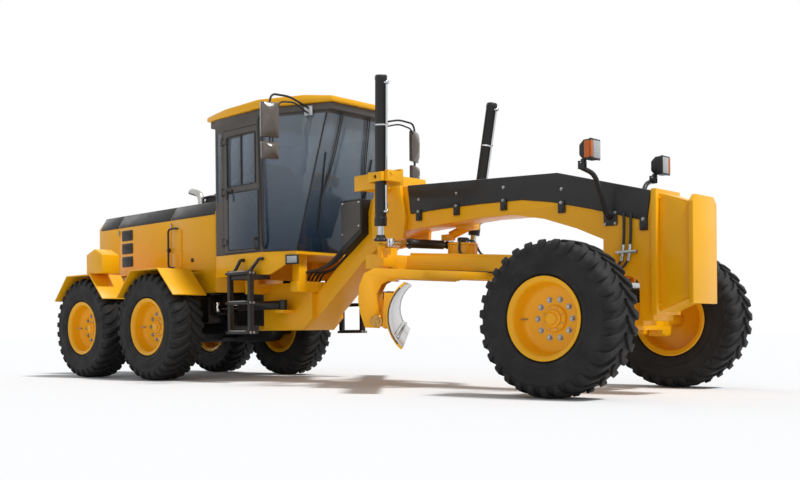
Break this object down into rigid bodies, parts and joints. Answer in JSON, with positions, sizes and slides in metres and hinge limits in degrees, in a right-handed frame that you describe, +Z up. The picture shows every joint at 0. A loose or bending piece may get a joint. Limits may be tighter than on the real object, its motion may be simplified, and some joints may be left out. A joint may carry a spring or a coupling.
{
  "type": "motor grader",
  "caption": "Articulated motor grader with tandem rear wheels, a glazed cab, an arched front beam and a turning blade under it.",
  "frame": {"origin": "on the ground, below the centre of the machine's length and width", "axes": "+X forwards, +Y to the machine's left, +Z up"},
  "size_m": [8.73, 3.2212, 3.2353],
  "materials": {
    "yellow_enamel": "gloss enamel over steel plate",
    "tyre_rubber": "matte moulded rubber",
    "black_enamel": "satin enamel",
    "cast_iron": "painted casting",
    "cab_paint": "satin dark grey paint",
    "chrome": "hard chrome plate",
    "blade_steel": "ground steel plate",
    "seat_vinyl": "vinyl and moulded plastic"
  },
  "bodies": {
    "front_frame": {"front_frame": "yellow_enamel", "nose_block": "yellow_enamel", "front_axle": "yellow_enamel", "lift_saddle": "yellow_enamel", "cab_base": "yellow_enamel", "cab_frame": "cab_paint", "cab_roof": "yellow_enamel", "operator_station": "seat_vinyl", "valve_box": "black_enamel", "ladder_right": "black_enamel", "mirror_right": "black_enamel", "headlamp_right": "black_enamel", "ladder_left": "black_enamel", "mirror_left": "black_enamel", "headlamp_left": "black_enamel"},
    "rear_frame": {"rear_frame": "black_enamel", "engine_hood": "yellow_enamel", "engine_block": "cast_iron", "exhaust_pipe": "chrome", "tandem_case_right": "black_enamel", "tandem_case_left": "black_enamel", "fender_right": "yellow_enamel", "fender_left": "yellow_enamel"},
    "wheel_front_right": {"tyre_front_right": "tyre_rubber", "rim_front_right": "yellow_enamel"},
    "wheel_front_left": {"tyre_front_left": "tyre_rubber", "rim_front_left": "yellow_enamel"},
    "wheel_mid_right": {"tyre_mid_right": "tyre_rubber", "rim_mid_right": "yellow_enamel"},
    "wheel_mid_left": {"tyre_mid_left": "tyre_rubber", "rim_mid_left": "yellow_enamel"},
    "wheel_rear_right": {"tyre_rear_right": "tyre_rubber", "rim_rear_right": "yellow_enamel"},
    "wheel_rear_left": {"tyre_rear_left": "tyre_rubber", "rim_rear_left": "yellow_enamel"},
    "lean_left": {"lean_fork_left": "yellow_enamel"},
    "steer_left": {"steering_knuckle_left": "yellow_enamel"},
    "lean_right": {"lean_fork_right": "yellow_enamel"},
    "steer_right": {"steering_knuckle_right": "yellow_enamel"},
    "lean_bar": {"lean_bar": "black_enamel"},
    "tie_rod": {"tie_rod": "black_enamel"},
    "cab_door_right": {"cab_door_right": "cab_paint"},
    "cab_door_left": {"cab_door_left": "cab_paint"},
    "drawbar_ball": {"drawbar_ball": "chrome"},
    "drawbar": {"drawbar": "yellow_enamel"},
    "circle": {"circle": "yellow_enamel"},
    "blade_carrier": {"blade_carrier": "yellow_enamel"},
    "moldboard": {"moldboard": "blade_steel"},
    "lift_yoke_right": {"lift_yoke_right": "yellow_enamel"},
    "lift_barrel_right": {"lift_barrel_right": "black_enamel"},
    "lift_rod_right": {"lift_rod_right": "chrome"},
    "lift_yoke_left": {"lift_yoke_left": "yellow_enamel"},
    "lift_barrel_left": {"lift_barrel_left": "black_enamel"},
    "lift_rod_left": {"lift_rod_left": "chrome"},
    "steer_barrel_right": {"steer_barrel_right": "black_enamel"},
    "steer_rod_right": {"steer_rod_right": "chrome"},
    "steer_barrel_left": {"steer_barrel_left": "black_enamel"},
    "steer_rod_left": {"steer_rod_left": "chrome"},
    "shift_barrel": {"shift_barrel": "black_enamel"},
    "shift_rod": {"shift_rod": "chrome"}
  },
  "joints": [
    {"name": "articulation", "type": "hinge", "parent": "front_frame", "child": "rear_frame", "pos_m": [-1.265, 0, 0.88], "axis": [0, 0, 1], "range_deg": [-25, 25]},
    {"name": "wheel_front_right_spin", "type": "hinge", "parent": "steer_right", "child": "wheel_front_right", "pos_m": [3.585, -1.0825, 0.66], "axis": [0, 1, 0], "continuous": true},
    {"name": "wheel_front_left_spin", "type": "hinge", "parent": "steer_left", "child": "wheel_front_left", "pos_m": [3.585, 1.0825, 0.66], "axis": [0, 1, 0], "continuous": true},
    {"name": "wheel_mid_right_spin", "type": "hinge", "parent": "rear_frame", "child": "wheel_mid_right", "pos_m": [-2.1, -1.0825, 0.66], "axis": [0, 1, 0], "continuous": true},
    {"name": "wheel_mid_left_spin", "type": "hinge", "parent": "rear_frame", "child": "wheel_mid_left", "pos_m": [-2.1, 1.0825, 0.66], "axis": [0, 1, 0], "continuous": true},
    {"name": "wheel_rear_right_spin", "type": "hinge", "parent": "rear_frame", "child": "wheel_rear_right", "pos_m": [-3.63, -1.0825, 0.66], "axis": [0, 1, 0], "continuous": true},
    {"name": "wheel_rear_left_spin", "type": "hinge", "parent": "rear_frame", "child": "wheel_rear_left", "pos_m": [-3.63, 1.0825, 0.66], "axis": [0, 1, 0], "continuous": true},
    {"name": "lean_left", "type": "hinge", "parent": "front_frame", "child": "lean_left", "pos_m": [3.585, 0.65, 0.56], "axis": [1, 0, 0], "range_deg": [-18, 18]},
    {"name": "steer_left", "type": "hinge", "parent": "lean_left", "child": "steer_left", "pos_m": [3.585, 0.8, 0.7], "axis": [0, 0, 1], "range_deg": [-45, 45]},
    {"name": "lean_right", "type": "hinge", "parent": "front_frame", "child": "lean_right", "pos_m": [3.585, -0.65, 0.56], "axis": [1, 0, 0], "range_deg": [-18, 18]},
    {"name": "steer_right", "type": "hinge", "parent": "lean_right", "child": "steer_right", "pos_m": [3.585, -0.8, 0.7], "axis": [0, 0, 1], "range_deg": [-45, 45]},
    {"name": "lean_bar_swing", "type": "hinge", "parent": "lean_left", "child": "lean_bar", "pos_m": [3.665, 0.65, 0.96], "axis": [1, 0, 0], "range_deg": [-18, 18]},
    {"name": "tie_rod_travel", "type": "slide", "parent": "front_frame", "child": "tie_rod", "axis": [0, 1, 0], "range_m": [-0.13, 0.13]},
    {"name": "door_right", "type": "hinge", "parent": "front_frame", "child": "cab_door_right", "pos_m": [-1.195, -0.806, 2.25], "axis": [0, 0, -1], "range_deg": [0, 90]},
    {"name": "door_left", "type": "hinge", "parent": "front_frame", "child": "cab_door_left", "pos_m": [-1.195, 0.806, 2.25], "axis": [0, 0, 1], "range_deg": [0, 90]},
    {"name": "drawbar_swing", "type": "hinge", "parent": "front_frame", "child": "drawbar_ball", "pos_m": [3.255, 0, 1.15], "axis": [0, 0, 1], "range_deg": [-5, 5]},
    {"name": "drawbar_lift", "type": "hinge", "parent": "drawbar_ball", "child": "drawbar", "pos_m": [3.255, 0, 1.15], "axis": [0, 1, 0], "range_deg": [-18, 2]},
    {"name": "circle_turn", "type": "hinge", "parent": "drawbar", "child": "circle", "pos_m": [1.63127, 0, 1.15327], "axis": [-0.0698, 0, -0.9976], "range_deg": [-10, 90]},
    {"name": "blade_tilt", "type": "hinge", "parent": "circle", "child": "blade_carrier", "pos_m": [1.03542, -0.47245, 0.70374], "axis": [-0.6412, 0.766, 0.0448], "range_deg": [-5, 30]},
    {"name": "blade_side_shift", "type": "slide", "parent": "blade_carrier", "child": "moldboard", "axis": [-0.6412, 0.766, 0.0448], "range_m": [-1, 0.12]},
    {"name": "lift_yoke_right_roll", "type": "hinge", "parent": "front_frame", "child": "lift_yoke_right", "pos_m": [1.38956, -0.82041, 2.13], "axis": [1, 0, 0], "range_deg": [-14, 14]},
    {"name": "lift_barrel_right_pitch", "type": "hinge", "parent": "lift_yoke_right", "child": "lift_barrel_right", "pos_m": [1.38956, -0.82041, 2.13], "axis": [0, 0.995, 0.1001], "range_deg": [-4, 1]},
    {"name": "lift_rod_right_travel", "type": "slide", "parent": "lift_barrel_right", "child": "lift_rod_right", "axis": [-0.1054, 0.0995, -0.9894], "range_m": [-0.07, 0.62]},
    {"name": "lift_yoke_left_roll", "type": "hinge", "parent": "front_frame", "child": "lift_yoke_left", "pos_m": [1.38956, 0.82041, 2.13], "axis": [1, 0, 0], "range_deg": [-14, 14]},
    {"name": "lift_barrel_left_pitch", "type": "hinge", "parent": "lift_yoke_left", "child": "lift_barrel_left", "pos_m": [1.38956, 0.82041, 2.13], "axis": [0, 0.995, -0.1001], "range_deg": [-4, 1]},
    {"name": "lift_rod_left_travel", "type": "slide", "parent": "lift_barrel_left", "child": "lift_rod_left", "axis": [-0.1054, -0.0995, -0.9894], "range_m": [-0.07, 0.62]},
    {"name": "frame_barrel_right_swing", "type": "hinge", "parent": "front_frame", "child": "steer_barrel_right", "pos_m": [-0.565, -0.4, 0.9], "axis": [0, 0, 1], "range_deg": [-11, 11]},
    {"name": "frame_rod_right_travel", "type": "slide", "parent": "steer_barrel_right", "child": "steer_rod_right", "axis": [-0.9994, -0.0333, 0], "range_m": [-0.19, 0.19]},
    {"name": "frame_barrel_left_swing", "type": "hinge", "parent": "front_frame", "child": "steer_barrel_left", "pos_m": [-0.565, 0.4, 0.9], "axis": [0, 0, 1], "range_deg": [-11, 11]},
    {"name": "frame_rod_left_travel", "type": "slide", "parent": "steer_barrel_left", "child": "steer_rod_left", "axis": [-0.9994, 0.0333, 0], "range_m": [-0.19, 0.19]},
    {"name": "shift_barrel_swing", "type": "hinge", "parent": "front_frame", "child": "shift_barrel", "pos_m": [1.465, 0.14, 1.49], "axis": [1, 0, 0], "range_deg": [-6, 48]},
    {"name": "shift_rod_travel", "type": "slide", "parent": "shift_barrel", "child": "shift_rod", "axis": [-0.249, -0.9685, 0], "range_m": [-0.18, 0.18]}
  ],
  "couplings": [
    {"joint": "lean_right", "follows": "lean_left", "ratio": 1},
    {"joint": "steer_right", "follows": "steer_left", "ratio": 1},
    {"joint": "lean_bar_swing", "follows": "lean_left", "ratio": -1},
    {"joint": "tie_rod_travel", "follows": "steer_left", "m_per_rad": -0.162},
    {"joint": "lift_yoke_right_roll", "follows": "drawbar_swing", "ratio": -2.77},
    {"joint": "lift_barrel_right_pitch", "follows": "drawbar_lift", "ratio": 0.18},
    {"joint": "lift_rod_right_travel", "follows": "drawbar_lift", "m_per_rad": -1.969},
    {"joint": "lift_yoke_left_roll", "follows": "drawbar_swing", "ratio": -2.77},
    {"joint": "lift_barrel_left_pitch", "follows": "drawbar_lift", "ratio": 0.18},
    {"joint": "lift_rod_left_travel", "follows": "drawbar_lift", "m_per_rad": -1.969},
    {"joint": "frame_barrel_right_swing", "follows": "articulation", "ratio": 0.424},
    {"joint": "frame_rod_right_travel", "follows": "articulation", "m_per_rad": -0.42},
    {"joint": "frame_barrel_left_swing", "follows": "articulation", "ratio": 0.424},
    {"joint": "frame_rod_left_travel", "follows": "articulation", "m_per_rad": 0.42},
    {"joint": "shift_barrel_swing", "follows": "drawbar_lift", "ratio": -2.6},
    {"joint": "shift_rod_travel", "follows": "drawbar_swing", "m_per_rad": 1.95}
  ]
}
